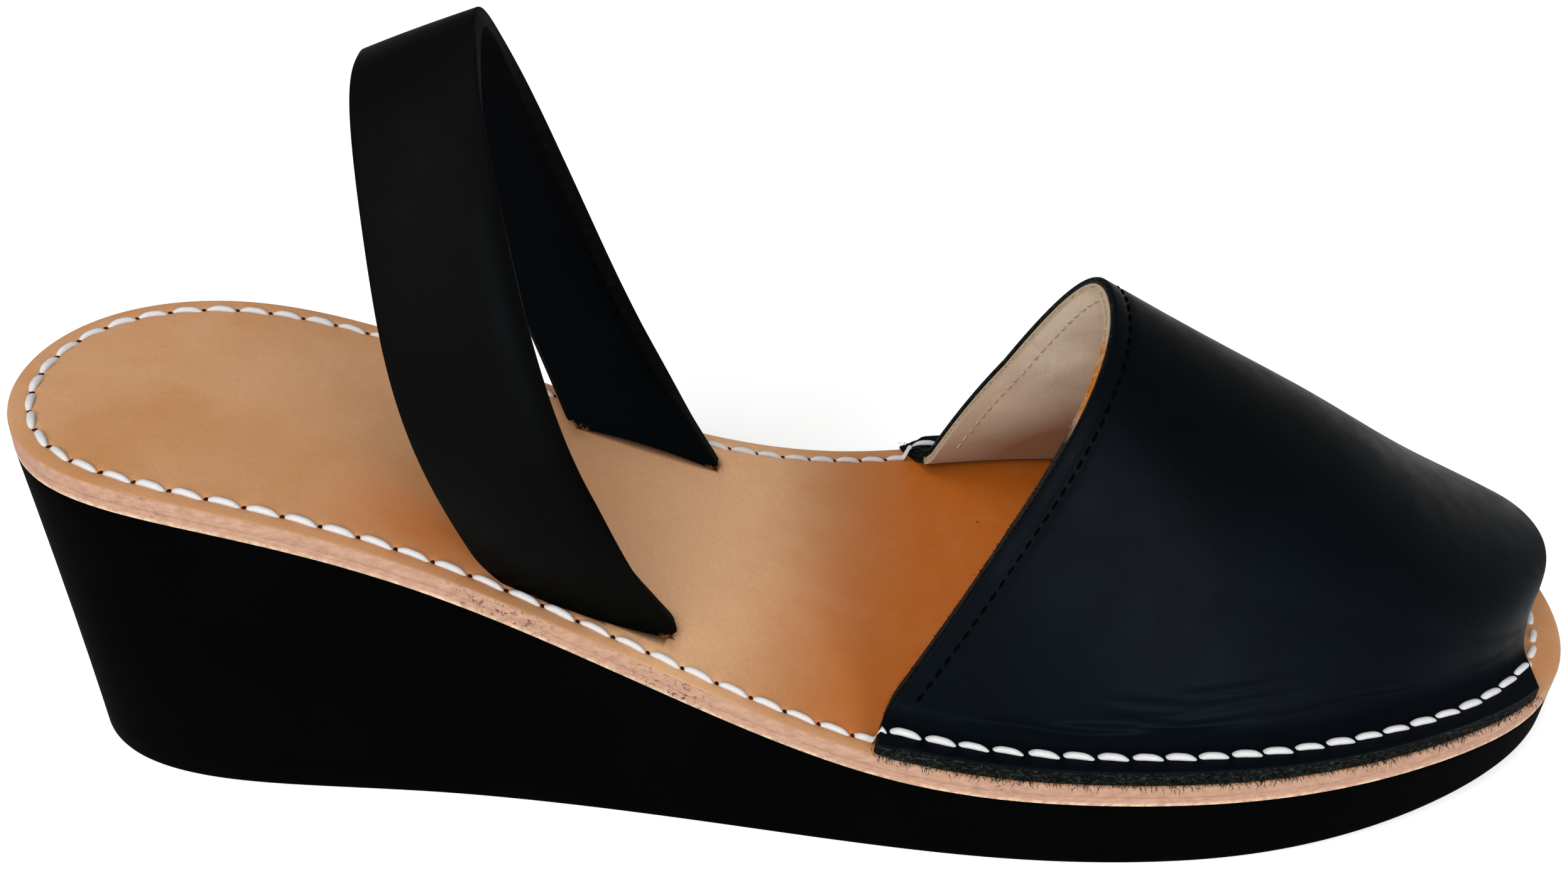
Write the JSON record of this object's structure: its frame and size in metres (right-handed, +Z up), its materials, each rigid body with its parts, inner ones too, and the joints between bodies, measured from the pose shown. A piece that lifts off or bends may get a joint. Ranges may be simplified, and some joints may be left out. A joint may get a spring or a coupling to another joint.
{
  "type": "avarca sandal",
  "caption": "Black slingback avarca on a moulded wedge: peep-toe vamp with a turned-out flange, tan leather insole and a heel strap that stands in two slots.",
  "frame": {"origin": "on the floor under the middle of the insole's length, on the flat of the sole's underside", "axes": "+X towards the toe, +Z up, +Y towards the inner side of the foot"},
  "size_m": [0.25, 0.0895, 0.1139],
  "materials": {
    "wedge_rubber": "matte moulded black foam rubber, faint fine grain",
    "midsole_leather": "raw pale cut edge of a split leather layer",
    "insole_leather": "natural vegetable-tanned smooth side, low sheen",
    "black_leather": "smooth black full-grain leather with a soft bluish sheen",
    "suede_lining": "pinkish-beige napped lining leather",
    "waxed_thread": "thick white waxed thread"
  },
  "bodies": {
    "root": {"wedge_sole": "wedge_rubber", "leather_midsole": "midsole_leather", "leather_insole": "insole_leather", "vamp": "black_leather", "heel_strap": "black_leather"}
  },
  "joints": []
}
